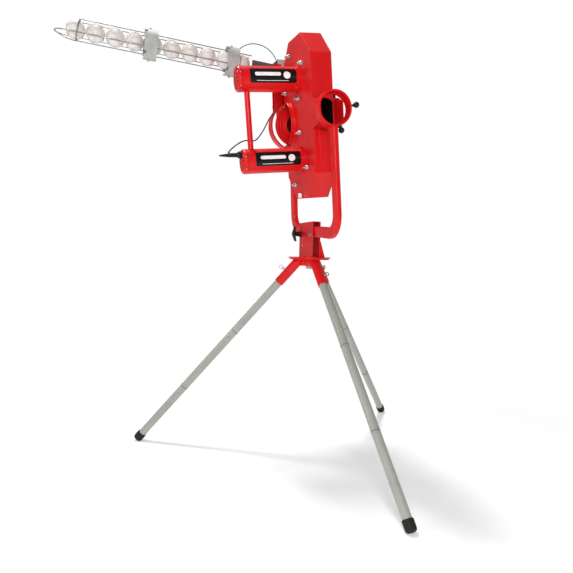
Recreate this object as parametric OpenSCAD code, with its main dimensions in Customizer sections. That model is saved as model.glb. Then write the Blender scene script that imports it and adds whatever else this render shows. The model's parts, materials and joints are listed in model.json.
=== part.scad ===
// Two-wheel baseball pitching machine on a three-legged stand, with a gravity
// ball rack.  Frame: origin on the floor at the middle of the machine's
// bounding box, +Z up, +X the way the ball flies.  The motors and the ball rack
// reach out to -Y.  All parts are drawn about the vertical axis of the
// turntable, and placed() then moves them to that origin.

/* [Stand] */
// Radius of the circle that the rubber feet stand on
foot_circle_r = 733; // [640:1:780]
// Turn of the three legs about the vertical axis
leg_turn = 5.9; // [0:0.1:12]
// Outside diameter of the leg tubes
leg_d = 33; // [30:0.5:34]
// Height of the top of the stand's plate
stand_top_z = 824; // [760:1:880]

/* [Saddle] */
// Inside gap between the two walls of the saddle
saddle_gap = 27; // [25:0.5:32]
// Height of the tilt pivot above the floor
pivot_z = 926; // [920:1:940]
// Height of the saddle walls above the turntable plate
saddle_h = 145; // [140:1:150]

/* [Yoke] */
// Nose-down tilt of the yoke as it stands
yoke_tilt = 4; // [-6:0.5:8]
// Sideways lean of the yoke in its saddle, towards the motors
yoke_lean = 4.3; // [0:0.1:4.5]
// Height of the ball axis above the floor, before tilt and lean
axis_z = 1385; // [1370:1:1400]
// Width of the yoke tube in the plane of the yoke
yoke_w = 44; // [38:1:46]
// Thickness of the yoke tube
yoke_t = 20; // [18:0.5:21]

/* [Head] */
// Roll of the head about the ball axis as it stands
head_roll = 2.1; // [-30:0.1:30]
// Half of the height of the wheel housing
house_h = 313; // [305:1:318]
// Outside thickness of the wheel housing
house_t = 85; // [82:1:90]
// Distance between the two wheel shafts
wheel_pitch = 312; // [310:1:316]
// Outside diameter of a throwing wheel
wheel_d = 246; // [242:1:248]
// Outside diameter of a motor can
motor_d = 96; // [90:1:100]
// How far a motor reaches out from the side plate
motor_len = 246; // [220:1:260]

/* [Feeder] */
// Diameter of a ball
ball_d = 73.6; // [72:0.1:74.4]
// Number of balls lying in the rack
ball_count = 10; // [4:1:10]
// Slope of the rack above level, in the yoke's own frame
rack_slope = 8.1; // [6:0.1:10]

/* [Hidden] */
$fn = 48;

// where the turntable axis stands, measured from the origin
axis_x = -151;
axis_y = 195;

red = [0.80, 0.07, 0.08];
leg_grey = [0.55, 0.55, 0.54];
zinc = [0.75, 0.75, 0.77];
dark = [0.06, 0.06, 0.06];

// stand
leg_az = [leg_turn, leg_turn - 120, leg_turn + 120];
leg_top_r = 50;
leg_top_z = 809;
leg_bot_z = 21;
leg_len = sqrt(pow(foot_circle_r - leg_top_r, 2) + pow(leg_top_z - leg_bot_z, 2));
leg_ang = atan2(foot_circle_r - leg_top_r, leg_top_z - leg_bot_z);
leg_wall = 2;
join_1 = 404;
join_2 = 738;
spigot = 70;
button_up = 35;
button_dir = [52, 90, 90];
pin_down = 62;
pin_dir = [90, 180, 180];
plate_r = 88;
turn_z = stand_top_z + 1;
turn_t = 5;
saddle_z0 = turn_z + turn_t;
// saddle and yoke
pivot_x = 42;
saddle_x0 = -83;
saddle_x1 = 75;
wall_t = 3.5;
slot_r = 104;
bar_z = 936;
bend_r = 70;
arm_lean = 4.5;
bar_x0 = -122;
bar_x1 = 215.7;
front_hoop_x = 260;
front_hoop_r = 64.3;
front_hoop_t = 6;
rear_hoop_x = -192;
rear_hoop_r = 104;
rear_hoop_t = 6;
// head
hx1 = 168;
hx0 = -160;
hxc = (hx0 + hx1) / 2;
chamfer = 94;
skin = 3;
ys = house_t / 2;
wz = wheel_pitch / 2;
mr = motor_d / 2;
my1 = -ys;
my0 = -ys - motor_len;
bolts = [[-56, 258], [82, 199], [-120, 125], [26, 78], [21, -53], [90, -193],
  [-63, -255], [-2, -300]];
// feeder
rack_x = -278;
rack_y = -273;
rack_z = 1669;
br = ball_d / 2;
wire_r = 2;
collar_r = 60;
collar_w = 52;
ball_pitch = 75.1;
gate_x = -352;
gate_y = -150;
chute_top = 1583;

// ---------------------------------------------------------------- helpers
module placed() translate([axis_x, axis_y, 0]) children();
module tube(r1, r2, h) {
  difference() {
    cylinder(r = r1, h = h);
    translate([0, 0, -1]) cylinder(r = r2, h = h + 2);
  }
}
// rounded rectangle, centred, made of true arcs
module rrect(w, h, r) {
  square([w - 2 * r, h], center = true);
  square([w, h - 2 * r], center = true);
  for (a = [-1, 1]) for (b = [-1, 1])
    translate([a * (w / 2 - r), b * (h / 2 - r)]) circle(r = r);
}
// cylinder along +Y from the origin
module ycyl(r, h) rotate([-90, 0, 0]) cylinder(r = r, h = h);
// cylinder along +X from the origin
module xcyl(r, h) rotate([0, 90, 0]) cylinder(r = r, h = h);
// frame of the yoke: tilt about the level pivot, then the sideways lean
module in_yoke()
  translate([pivot_x, 0, pivot_z]) rotate([yoke_lean, 0, 0]) rotate([0, yoke_tilt, 0])
    translate([-pivot_x, 0, -pivot_z]) children();
// frame of the head: X and Z measured from the ball axis
module in_head()
  in_yoke() translate([0, 0, axis_z]) rotate([head_roll, 0, 0]) children();
// frame of one leg: +Z runs down the tube from its top
module on_leg(a)
  rotate([0, 0, a]) translate([leg_top_r, 0, leg_top_z]) rotate([0, 180 - leg_ang, 0]) children();
// frame of the rack: origin on the ball line, +X along the rack away from the
// machine (outwards), +Z square to it and up
module in_rack()
  in_yoke() translate([rack_x, rack_y, rack_z]) rotate([0, 0, -90]) rotate([0, -rack_slope, 0]) children();

// ---------------------------------------------------------------- stand
module tripod_plate() color(red) difference() {
  translate([0, 0, stand_top_z - 5]) cylinder(r = plate_r - 6, h = 5, $fn = 96);
  translate([0, 0, stand_top_z - 6]) cylinder(r = 8.1, h = 8);
}

module socket_outer(a) on_leg(a) translate([0, 0, -45]) cylinder(r = leg_d / 2 + 3, h = 163);

module leg_sockets() color(red) difference() {
  union() {
    for (a = leg_az) socket_outer(a);
    translate([0, 0, stand_top_z - 31]) cylinder(r = 40, h = 26);
  }
  for (i = [0 : 2]) on_leg(leg_az[i]) {
    cylinder(r = leg_d / 2, h = 130);
    translate([0, 0, pin_down]) rotate([0, 0, pin_dir[i]]) xcyl(4.1, 60);
  }
  translate([0, 0, stand_top_z - 5]) cylinder(r = 200, h = 80);
  translate([0, 0, stand_top_z - 60]) cylinder(r = 8.1, h = 70);
}

// three tubes between two distances down the leg, each with a spigot that the
// next section pushes over, and with holes for the snap buttons
module leg_section(z0, z1, low_spigot, holes) for (i = [0 : 2]) on_leg(leg_az[i]) difference() {
  union() {
    translate([0, 0, z0]) cylinder(r = leg_d / 2, h = z1 - z0);
    if (low_spigot) translate([0, 0, z1 - 1]) cylinder(r = leg_d / 2 - leg_wall, h = spigot + 1);
  }
  translate([0, 0, z0 - 1]) cylinder(r = leg_d / 2 - 2 * leg_wall, h = z1 - z0 + spigot + 3);
  if (!low_spigot || z0 > 1) translate([0, 0, z0 - 1]) cylinder(r = leg_d / 2 - leg_wall, h = spigot + 3);
  for (h = holes) translate([0, 0, h]) rotate([0, 0, button_dir[i]]) xcyl(4.05, 40);
}
module leg_upper_tubes() color(leg_grey) difference() {
  leg_section(2, join_1, true, [join_1 + button_up]);
  for (i = [0 : 2]) on_leg(leg_az[i]) translate([0, 0, pin_down]) rotate([0, 0, pin_dir[i]]) xcyl(4.1, 60);
}
module leg_middle_tubes() color(leg_grey)
  leg_section(join_1, join_2, true, [join_1 + button_up, join_2 + button_up]);
module leg_lower_tubes() color(leg_grey)
  leg_section(join_2, leg_len - 1.05, false, [join_2 + button_up]);

module rubber_feet() color(dark) for (a = leg_az) on_leg(a) intersection() {
  translate([0, 0, leg_len]) rotate_extrude() polygon([
    [leg_d / 2, -20], [leg_d / 2 + 2, -20], [leg_d / 2 + 3, -17], [leg_d / 2 + 3, 8],
    [leg_d / 2 + 1, 15], [leg_d / 2 - 5, 19], [0, 19], [0, -1], [leg_d / 2, -1]]);
  // ground flat where the foot rests on the floor
  rotate([0, leg_ang - 180, 0]) translate([-leg_top_r - 200, -60, -leg_top_z])
    cube([foot_circle_r + 400, 120, 200]);
}

module snap_button(i, d) color(zinc) on_leg(leg_az[i]) translate([0, 0, d])
  rotate([0, 0, button_dir[i]]) {
    translate([9, 0, 0]) xcyl(4, leg_d / 2 - 7.5);
    translate([leg_d / 2 + 1.5, 0, 0]) intersection() {
      sphere(r = 4, $fn = 32);
      translate([0, -5, -5]) cube([10, 10, 10]);
    }
  }
module front_upper_button() snap_button(0, join_1 + button_up);
module front_lower_button() snap_button(0, join_2 + button_up);
module left_upper_button() snap_button(1, join_1 + button_up);
module left_lower_button() snap_button(1, join_2 + button_up);
module rear_upper_button() snap_button(2, join_1 + button_up);
module rear_lower_button() snap_button(2, join_2 + button_up);

// eye pins through the sockets that hold the legs in
module socket_pins() color(zinc) for (i = [0 : 2]) on_leg(leg_az[i]) translate([0, 0, pin_down]) rotate([0, 0, pin_dir[i]]) {
  translate([6, 0, 0]) xcyl(4, leg_d / 2 + 6);
  translate([leg_d / 2 + 11, 0, 0]) xcyl(7, 3);
  translate([leg_d / 2 + 21, 0, 0]) rotate([90, 0, 0])
    translate([0, 0, -1.5]) difference() { cylinder(r = 9, h = 3); translate([0, 0, -1]) cylinder(r = 5.5, h = 5); }
}

module pan_bolt() color(zinc) {
  translate([0, 0, stand_top_z - 44]) cylinder(r = 8, h = turn_z + turn_t - stand_top_z + 44);
  translate([0, 0, turn_z + turn_t + 0.1]) cylinder(r = 11.5, h = 9, $fn = 6);
  translate([0, 0, turn_z + turn_t - 0.5]) cylinder(r = 8, h = 2);
  translate([0, 0, stand_top_z - 34]) tube(15, 8, 3);
  translate([0, 0, stand_top_z - 43]) difference() {
    cylinder(r = 13, h = 9, $fn = 6);
    translate([0, 0, -1]) cylinder(r = 8, h = 11);
  }
}
module thrust_washer() color([0.85, 0.85, 0.8]) translate([0, 0, stand_top_z])
  tube(40, 8.1, turn_z - stand_top_z);

// ---------------------------------------------------------------- turntable and saddle
module swivel_plate() color(red) difference() {
  translate([0, 0, turn_z]) cylinder(r = plate_r, h = turn_t, $fn = 96);
  translate([0, 0, turn_z - 1]) cylinder(r = 8.05, h = turn_t + 2);
}

// arc slot for the clamp stud, round the pivot, cut along Y
module arc_slot(a0, a1, w) translate([pivot_x, 0, pivot_z]) rotate([90, 0, 0])
  translate([0, 0, -40]) {
    rotate([0, 0, a0]) rotate_extrude(angle = a1 - a0, $fn = 96) translate([slot_r - w / 2, 0]) square([w, 80]);
    for (a = [a0, a1]) rotate([0, 0, a]) translate([slot_r, 0, 0]) cylinder(r = w / 2, h = 80);
  }

module saddle_bracket() color(red) {
  difference() {
    union() {
      for (s = [-1, 1]) translate([saddle_x0, s > 0 ? saddle_gap / 2 : -saddle_gap / 2 - wall_t, saddle_z0])
        cube([saddle_x1 - saddle_x0, wall_t, saddle_h]);
      translate([0, -saddle_gap / 2 - wall_t, saddle_z0 + saddle_h - wall_t])
        cube([saddle_x1, saddle_gap + 2 * wall_t, wall_t]);
    }
    translate([pivot_x, -40, pivot_z]) ycyl(6.1, 80);
    arc_slot(162, 211, 10);
  }
  // gussets that brace the far wall
  for (x = [-40, 66]) translate([x, saddle_gap / 2 + wall_t, saddle_z0]) rotate([90, 0, 90])
    linear_extrude(4) polygon([[0, 0], [24, 0], [4, 66], [0, 66]]);
}

module pivot_bolt() color(zinc) translate([pivot_x, 0, pivot_z]) {
  translate([0, -saddle_gap / 2 - wall_t, 0]) ycyl(6, saddle_gap + 2 * wall_t);
  translate([0, -saddle_gap / 2 - wall_t - 6, 0]) rotate([-90, 0, 0]) {
    cylinder(r = 9.5, h = 6, $fn = 6);
  }
  translate([0, saddle_gap / 2 + wall_t, 0]) rotate([-90, 0, 0]) {
    cylinder(r = 13, h = 1.5);
    translate([0, 0, 1.5]) cylinder(r = 9.5, h = 9, $fn = 6);
    translate([0, 0, 10]) cylinder(r = 6, h = 6);
  }
}

// ---------------------------------------------------------------- yoke
module yoke_section(d) rrect(yoke_w - 2 * d, yoke_t - 2 * d, 5 - d);
// centreline: up the rear arm, round, along the bar, round, up the front arm
module yoke_path(d) {
  rz = rear_arm_top - bar_z - bend_r;
  translate([rear_hoop_x, 0, bar_z + bend_r]) linear_extrude(rz) yoke_section(d);
  translate([bar_x0, 0, bar_z + bend_r]) rotate([90, 0, 0]) rotate([0, 0, 180])
    rotate_extrude(angle = 90, $fn = 96) translate([bend_r, 0]) yoke_section(d);
  translate([bar_x0, 0, bar_z]) rotate([0, 90, 0]) linear_extrude(bar_x1 - bar_x0) yoke_section(d);
  translate([bar_x1, 0, bar_z + bend_r]) rotate([90, 0, 0]) {
    rotate([0, 0, -90]) rotate_extrude(angle = 90 + arm_lean, $fn = 96) translate([bend_r, 0]) yoke_section(d);
    rotate([0, 0, arm_lean]) translate([bend_r, 0, 0]) rotate([-90, 0, 0])
      linear_extrude(front_arm_len) yoke_section(d);
  }
}
rear_arm_top = axis_z - rear_hoop_r + 12;
front_arm_len = axis_z - bar_z - bend_r - front_hoop_r + 6;

module yoke_frame() color(red) in_yoke() difference() {
  yoke_path(0);
  yoke_path(2.5);
  // coped ends that fit the hoops
  translate([front_hoop_x - 60, 0, axis_z]) xcyl(front_hoop_r, 120, $fn = 96);
  translate([rear_hoop_x - 60, 0, axis_z]) xcyl(rear_hoop_r, 120, $fn = 96);
  // cross hole for the pivot bush, and the clearance hole for the clamp stud
  bush_space(10);
  stud_space(4.05);
}
// cylinders along the level Y axis, written in the yoke's own frame
module level() translate([pivot_x, 0, pivot_z]) rotate([0, -yoke_tilt, 0]) rotate([-yoke_lean, 0, 0]) children();
module bush_space(r) level() translate([0, -40, 0]) ycyl(r, 80);
module stud_space(r) translate([pivot_x, 0, pivot_z]) rotate([0, -3.5, 0]) translate([-slot_r, 0, 0])
  rotate([0, 3.5 - yoke_tilt, 0]) rotate([-yoke_lean, 0, 0]) translate([0, -40, 0]) ycyl(r, 80);

module tilt_bush() color(zinc) translate([pivot_x, -12.6, pivot_z]) difference() {
  ycyl(10, 25.2);
  translate([0, -1, 0]) ycyl(6.05, 28);
}

module front_hoop() color(red) in_yoke() difference() {
  translate([front_hoop_x - 22, 0, axis_z]) rotate([0, 90, 0]) rotate_extrude($fn = 120)
    translate([front_hoop_r - front_hoop_t, 0]) square([front_hoop_t, 44]);
  for (a = [10, -67]) hoop_screw(a) translate([0, 0, front_hoop_r - 20]) cylinder(r = 4.05, h = 40);
}
// frame of a clamp screw on the front hoop, +Z pointing out from the axis
module hoop_screw(a) translate([front_hoop_x, 0, axis_z]) rotate([a - 90, 0, 0]) children();

module rear_hoop() color(red) in_yoke() difference() {
  translate([rear_hoop_x - 22, 0, axis_z]) rotate([0, 90, 0]) rotate_extrude($fn = 120)
    translate([rear_hoop_r - rear_hoop_t, 0]) square([rear_hoop_t, 44]);
}

// ---------------------------------------------------------------- feeder
// open channel that the ball drops down, and the elbow that turns it forward
module drop_chute() color(red) in_yoke() {
  ex = rack_x + 80;
  zt = axis_z + 108;
  // square upper length
  difference() {
    translate([rack_x - 45, -45, zt]) cube([90, 90, chute_top - zt]);
    translate([rack_x - 42, -42, zt - 1]) cube([84, 84, chute_top - zt + 2]);
  }
  // shelf that sits on the rear hoop
  difference() {
    translate([rack_x - 50, -50, zt - 6]) cube([rear_hoop_x + 20 - rack_x + 50, 100, 6]);
    translate([rack_x, 0, zt - 7]) cylinder(r = 42, h = 8);
    translate([rear_hoop_x - 22, 0, axis_z]) xcyl(rear_hoop_r, 46, $fn = 120);
  }
  // round neck and the elbow that turns the ball towards the wheels
  translate([rack_x, 0, zt - 28]) tube(45, 42, 22);
  translate([ex, 0, zt - 28]) rotate([90, 0, 0]) rotate([0, 0, 180])
    rotate_extrude(angle = 90, $fn = 72) translate([80, 0]) difference() {
      circle(r = 45);
      circle(r = 42);
    }
}

// wires of the rack: bottom, two sides and two at the top
wires = [[0, -42], [36, -18], [-36, -18], [20, 37], [-20, 37]];
module wire_run(x0, x1, w) translate([x0, w[0], w[1]]) xcyl(wire_r, x1 - x0, $fn = 24);

x_trough = -112;
x_col2 = -29;
x_col1 = 312;
x_end = 588;
x_tip = 677;

module rack_inner() color(zinc) in_rack() {
  for (w = wires) wire_run(x_trough, x_col1 - 2, w);
}
module rack_outer() color(zinc) in_rack() {
  for (i = [0, 1, 2]) wire_run(x_col1 + 2, i == 0 ? x_end + 12 : x_tip - 36, wires[i]);
  for (i = [3, 4]) wire_run(x_col1 + 2, x_end, wires[i]);
  // round loop that joins the side wires at the open end
  translate([x_tip - 36, 0, -18]) rotate([0, 0, -90])
    rotate_extrude(angle = 180, $fn = 48) translate([36, 0]) circle(r = wire_r, $fn = 20);
  // the bottom wire sweeps up to meet that loop
  translate([x_end + 12, 0, 93.5]) rotate([90, 0, 0]) rotate([0, 0, -90])
    rotate_extrude(angle = 34.2, $fn = 96) translate([135.5, 0]) circle(r = wire_r, $fn = 20);
  // end hoop round the last ball, open at the top
  translate([x_end + 3, 0, 0]) rotate([0, -7.8, 0]) rotate([0, 90, 0]) rotate([0, 0, -151.6])
    rotate_extrude(angle = 303.2, $fn = 96) translate([42, 0]) circle(r = 1.9, $fn = 20);
  translate([x_end - 2, -20, 37]) ycyl(1.9, 40, $fn = 20);
}

module collar_at(x) translate([x, 0, 0]) difference() {
  union() {
    translate([-collar_w / 2, 0, 0]) rotate([0, 90, 0]) difference() {
      cylinder(r = collar_r, h = collar_w, $fn = 72);
      translate([0, 0, -1]) cylinder(r = collar_r - 2.5, h = collar_w + 2, $fn = 72);
    }
    for (x = [-15, 12]) translate([x, 0, 0]) rotate([0, 90, 0]) difference() {
      cylinder(r = collar_r - 2, h = 3, $fn = 72);
      translate([0, 0, -1]) cylinder(r = br + 1, h = 5, $fn = 72);
    }
  }
  for (w = wires) translate([-50, w[0], w[1]]) xcyl(wire_r, 100, $fn = 24);
  // castellations round the open side of the collar
  for (a = [45 : 90 : 315]) rotate([a, 0, 0]) translate([collar_w / 2 - 11, -9, collar_r - 12]) cube([20, 18, 20]);
  for (s = [-1, 1]) rotate([s > 0 ? 0 : 180, 0, 0]) translate([4, 0, collar_r - 6]) cylinder(r = 3.1, h = 12);
}
module rack_collars() color([0.6, 0.6, 0.6]) in_rack() { collar_at(x_col2); collar_at(x_col1); }
module collar_bolts() color(zinc) in_rack() for (x = [x_col2, x_col1]) for (s = [-1, 1])
  translate([x, 0, 0]) rotate([s > 0 ? 0 : 180, 0, 0]) translate([4, 0, collar_r - 10]) {
    cylinder(r = 3, h = 17);
    translate([0, 0, 10]) difference() { cylinder(r = 5, h = 5, $fn = 6); translate([0, 0, -1]) cylinder(r = 3, h = 7); }
  }

// half-round trough from the wires down to the drop chute
module feed_trough() color([0.28, 0.25, 0.24]) in_rack() difference() {
  union() {
    translate([-226, 0, 0]) xcyl(42.5, x_trough + 226, $fn = 72);
    translate([-226, -42.5, 0]) cube([x_trough + 226, 85, 15]);
  }
  translate([-227, 0, 0]) xcyl(40, x_trough + 230, $fn = 72);
  translate([-227, -40, 0]) cube([x_trough + 230, 80, 80]);
  translate([-227, -60, 15]) cube([x_trough + 230, 120, 80]);
  // slot in the far wall for the gate arm
  translate([-214, -60, -24]) cube([120, 40, 60]);
}

module baseballs() color([0.93, 0.91, 0.87]) in_rack()
  for (i = [0 : ball_count - 1]) translate([(i - 1) * ball_pitch, 0, 0]) sphere(r = br, $fn = 48);

// cover over the top of the chute, and the box of the gate's gear motor
module gate_housing() color([0.6, 0.6, 0.6]) in_yoke() {
  difference() {
    translate([rack_x - 47, -48, chute_top]) cube([94, 96, 92]);
    translate([rack_x - 44, -49, chute_top - 1]) cube([88, 94, 90]);
  }
  difference() {
    translate([gate_x - 32, gate_y - 30, 1590]) cube([58, 60, 54]);
    translate([gate_x - 29, gate_y - 27, 1593]) cube([52, 54, 48]);
    translate([gate_x, gate_y, 1580]) cylinder(r = 4.05, h = 80);
  }
  translate([gate_x + 7, gate_y + 30, 1590]) cube([27, -48 - gate_y - 30, 4]);
}
module gate_motor() color(dark) in_yoke() translate([gate_x, gate_y, 1593]) difference() {
  union() { cylinder(r = 18, h = 40); cylinder(r = 22, h = 3); translate([0, 0, 40]) cylinder(r = 10, h = 7.9); }
  translate([0, 0, 30]) cylinder(r = 4.05, h = 30);
}
// swinging arm that holds the balls back
module gate_arm() color([0.9, 0.9, 0.88]) in_yoke() translate([gate_x, gate_y, 0]) {
  translate([0, 0, 1625]) cylinder(r = 4, h = 24);
  translate([0, 0, 1644.1]) cylinder(r = 9, h = 12);
  translate([0, -4, 1645]) cube([84, 8, 10]);
  translate([84, 0, 1645]) cylinder(r = 4, h = 10);
}
// channel post from the rear hoop up to the chute cover
module feeder_post() color(red) in_yoke() difference() {
  union() {
    translate([rear_hoop_x - 20, -83, axis_z + 50]) cube([40, 32, 205]);
    translate([rack_x + 47, -83, 1574]) cube([66, 4, 30]);
    translate([rack_x + 47, -83, 1574]) cube([4, 34.9, 30]);
  }
  translate([rear_hoop_x - 16, -90, axis_z + 40]) cube([32, 35, 300]);
  translate([rear_hoop_x - 60, 0, axis_z]) xcyl(rear_hoop_r, 120, $fn = 120);
}

module feeder_cable() color(dark) in_yoke() translate([rack_x, -135.7, 1640.9]) rotate([90, 0, 90])
  rotate([0, 0, 20]) rotate_extrude(angle = 120, $fn = 96) translate([105.4, 0]) circle(r = 1.8, $fn = 16);

// ---------------------------------------------------------------- knobs
module tilt_knob() color(dark) {
  a = 180 + 3.5 - yoke_tilt;
  translate([pivot_x + slot_r * cos(a), 0, pivot_z + slot_r * sin(a)]) {
    translate([0, -58, 0]) rotate([-90, 0, 0]) {
      translate([0, 0, 18]) cylinder(r1 = 9, r2 = 12, h = 22.9);
      translate([0, 0, 6]) cylinder(r = 9, h = 12);
      // two wings
      for (s = [0, 180]) rotate([0, 0, s + 80]) {
        translate([0, -4.5, 0]) cube([24, 9, 13]);
        translate([24, 0, 0]) cylinder(r = 8, h = 12);
      }
    }
    translate([0, -18, 0]) ycyl(4, 40);
  }
}
module clamp_knob(a, d) in_yoke() hoop_screw(a) {
  translate([0, 0, front_hoop_r - 5.6]) cylinder(r = 4, h = d - 1);
  translate([0, 0, front_hoop_r + 0.1]) cylinder(r = 8, h = 6, $fn = 6);
  translate([0, 0, front_hoop_r + d]) rotate_extrude($fn = 48) intersection() {
    circle(r = 11);
    translate([0, -9]) square([12, 21]);
  }
  translate([0, 0, front_hoop_r + d - 12]) cylinder(r = 6, h = 5);
}
module roll_knob_side() color(dark) clamp_knob(10, 29);
module roll_knob_lower() color(dark) clamp_knob(-67, 17);

// ---------------------------------------------------------------- head
// outline of the housing, drawn in X and Z about the ball axis
module outline(d) {
  c = chamfer - d * (2 - sqrt(2));
  x0 = hx0 + d; x1 = hx1 - d; h = house_h - d;
  polygon([[x0, -h + c], [x0 + c, -h], [x1 - c, -h], [x1, -h + c],
    [x1, h - c], [x1 - c, h], [x0 + c, h], [x0, h - c]]);
}
// extrude a drawing in X and Z from y0 to y1
module slab(y0, y1) translate([0, y1, 0]) rotate([90, 0, 0]) linear_extrude(y1 - y0) children();
module plate_cuts() {
  translate([-125, 0]) circle(r = 88, $fn = 96);
  translate([-260, -80.7]) square([135, 161.4]);
  for (b = bolts) translate(b) circle(r = 3);
}
module near_side_plate() color(red) in_head() slab(-ys, -ys + skin) difference() {
  outline(0);
  plate_cuts();
  for (s = [-1, 1]) translate([hxc, s * wz]) circle(r = 24);
}
module far_side_plate() color(red) in_head() slab(ys - skin, ys) difference() {
  outline(0);
  plate_cuts();
}
module band_2d() difference() { outline(0); outline(skin); }
module front_band() color(red) in_head() difference() {
  slab(-ys + skin, ys - skin) intersection() { band_2d(); translate([hxc, -400]) square([300, 800]); }
  translate([hx1 - 20, 0, 0]) xcyl(56, 40, $fn = 96);
}
module rear_band() color(red) in_head() difference() {
  slab(-ys + skin, ys - skin) intersection() { band_2d(); translate([hxc - 300, -400]) square([300, 800]); }
  translate([hx0 - 20, -50, -80.7]) cube([40, 100, 161.4]);
}

module exit_tabs() color(red) in_head() {
  for (y = [-ys - skin, ys]) slab(y, y + skin)
    polygon([[140, -50], [hx1, -56], [214, -45], [232, -34], [250, -34], [250, 34], [232, 34], [214, 45], [hx1, 56], [140, 50]]);
  // curved shoes that turn inside the front hoop
  for (a = [0, 180]) translate([240, 0, 0]) rotate([a, 0, 0]) rotate([0, 90, 0])
    rotate([0, 0, 128]) rotate_extrude(angle = 104, $fn = 120) translate([54.5, 0]) square([front_hoop_r - front_hoop_t - 0.05 - 54.5, 12]);
}

module access_panel() color(red) in_head() difference() {
  union() {
    translate([hx1, -22, -217]) cube([3, 53, 158]);
    for (y = [-17, 26]) for (z = [-210, -66]) translate([hx1 + 3, y, z]) xcyl(3, 2);
  }
  translate([hx1 + 1.6, -8, -65]) cube([3, 25, 10]);
}

module intake_disc() color([0.62, 0.05, 0.06]) in_head() {
  difference() {
    translate([hx0 - 4, 0, 0]) xcyl(88, 4, $fn = 120);
    translate([hx0 - 5, 0, 0]) xcyl(43, 6, $fn = 72);
  }
  // short throat behind the ball hole
  difference() {
    translate([hx0 - 14, 0, 0]) xcyl(46, 30, $fn = 72);
    translate([hx0 - 15, 0, 0]) xcyl(43, 32, $fn = 72);
  }
  // curved shoes that turn inside the rear hoop
  for (a = [0, 180]) translate([hx0 - 42, 0, 0]) rotate([a, 0, 0]) rotate([0, 90, 0])
    rotate([0, 0, 156]) rotate_extrude(angle = 48, $fn = 120) translate([84, 0]) square([rear_hoop_r - rear_hoop_t - 0.05 - 84, 38]);
}

module cover_bolts() color(zinc) in_head() for (b = bolts) translate([b[0], 0, b[1]])
  for (s = abs(b[1]) < 110 && abs(b[0] - hxc) < 85 ? [-1] : [-1, 1])
  rotate([0, 0, s > 0 ? 180 : 0]) translate([0, -ys, 0]) {
    ycyl(3, skin);
    translate([0, -1, 0]) ycyl(9, 1);
    translate([0, -5, 0]) rotate([-90, 0, 0]) cylinder(r = 6, h = 4, $fn = 6);
  }

module motor_cans() color(red) in_head() for (s = [-1, 1]) translate([hxc, my0, s * wz]) {
  difference() {
    union() {
      translate([0, 14, 0]) ycyl(mr, motor_len - 14, $fn = 96);
      translate([0, motor_len - 9, 0]) ycyl(mr + 6, 9, $fn = 96);
    }
    translate([0, 13, 0]) ycyl(mr - 3, motor_len - 28, $fn = 96);
    translate([0, motor_len - 20, 0]) ycyl(20, 30);
    translate([0, motor_len - 30, 0]) ycyl(12, 30);
    translate([0, 40, s * -mr - s * 6]) rotate([s > 0 ? 0 : 180, 0, 0]) cylinder(r = 8, h = 10);
  }
  // two curved field magnets
  for (a = [0, 180]) rotate([0, a, 0]) rotate([-90, 0, 0]) translate([0, 0, 60]) rotate([0, 0, -60])
    rotate_extrude(angle = 120, $fn = 72) translate([mr - 12, 0]) square([9, 110]);
}

// outer end caps with cooling slots and the rear bearing seat
module motor_caps() color(red) in_head() for (s = [-1, 1]) translate([hxc, my0, s * wz]) difference() {
  union() {
    rotate([-90, 0, 0]) rotate_extrude($fn = 96) polygon([[0, 0], [mr - 5, 0], [mr - 2, 1], [mr - 0.6, 3], [mr, 6], [mr, 14], [0, 14]]);
    translate([0, 13, 0]) ycyl(mr - 3, 4, $fn = 96);
    translate([0, 13, 0]) ycyl(26, 19);
  }
  translate([0, 5, 0]) ycyl(20, 40);
  difference() {
    translate([0, 3.5, 0]) ycyl(mr - 4, 20, $fn = 96);
    translate([0, 2, 0]) ycyl(26, 40);
    translate([0, 13.5, 0]) ycyl(mr - 3, 1, $fn = 96);
  }
  for (k = [-3 : 3]) if (k != 0) translate([-34, -1, k * 10 - 1.6]) cube([68, 6, 3.2]);
}

module tie_tube() color(red) in_head() translate([hxc, my0 + 40, -wz + mr - 1]) difference() {
  cylinder(r = 11, h = wheel_pitch - 2 * mr + 2);
  translate([0, 0, -1]) cylinder(r = 9, h = wheel_pitch - 2 * mr + 4);
  for (z = [-wz, wz]) translate([0, -60, z + wz - mr + 1]) ycyl(mr, 120, $fn = 96);
}

// speed controller on the far side plate
cbx = hxc; cbz = 0;
module control_box() color([0.15, 0.15, 0.16]) in_head() translate([cbx, ys, cbz]) difference() {
  translate([-70, 0, -95]) cube([140, 52, 190]);
  translate([-67, 3, -92]) cube([134, 46, 184]);
  for (z = [-48, 48]) translate([0, 40, z]) ycyl(4.05, 20);
  translate([-11.1, 40, -9.1]) cube([22.2, 20, 18.2]);
}
module dial(z) color(dark) in_head() translate([cbx, ys + 52.2, z]) {
  translate([0, -14, 0]) ycyl(4, 15);
  rotate([-90, 0, 0]) difference() {
    cylinder(r1 = 19, r2 = 16, h = 17, $fn = 48);
    for (i = [0 : 11]) rotate([0, 0, i * 30]) translate([20, 0, 3]) cylinder(r = 3, h = 20, $fn = 16);
    translate([-0.8, 4, 15.5]) cube([1.6, 13, 3]);
  }
}
module upper_speed_dial() dial(48);
module lower_speed_dial() dial(-48);
// rocker switch that turns on a cross pin
module power_switch() color(dark) in_head() translate([cbx, ys + 46, 0]) difference() {
  translate([-11, 0, 0]) xcyl(8.9, 22, $fn = 64);
  translate([-20, -15, -14]) cube([40, 10, 28]);
  for (s = [-1, 1]) rotate([s * 14, 0, 0]) translate([-12, 7.2, s > 0 ? -14 : 0]) cube([24, 10, 14]);
}

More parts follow.
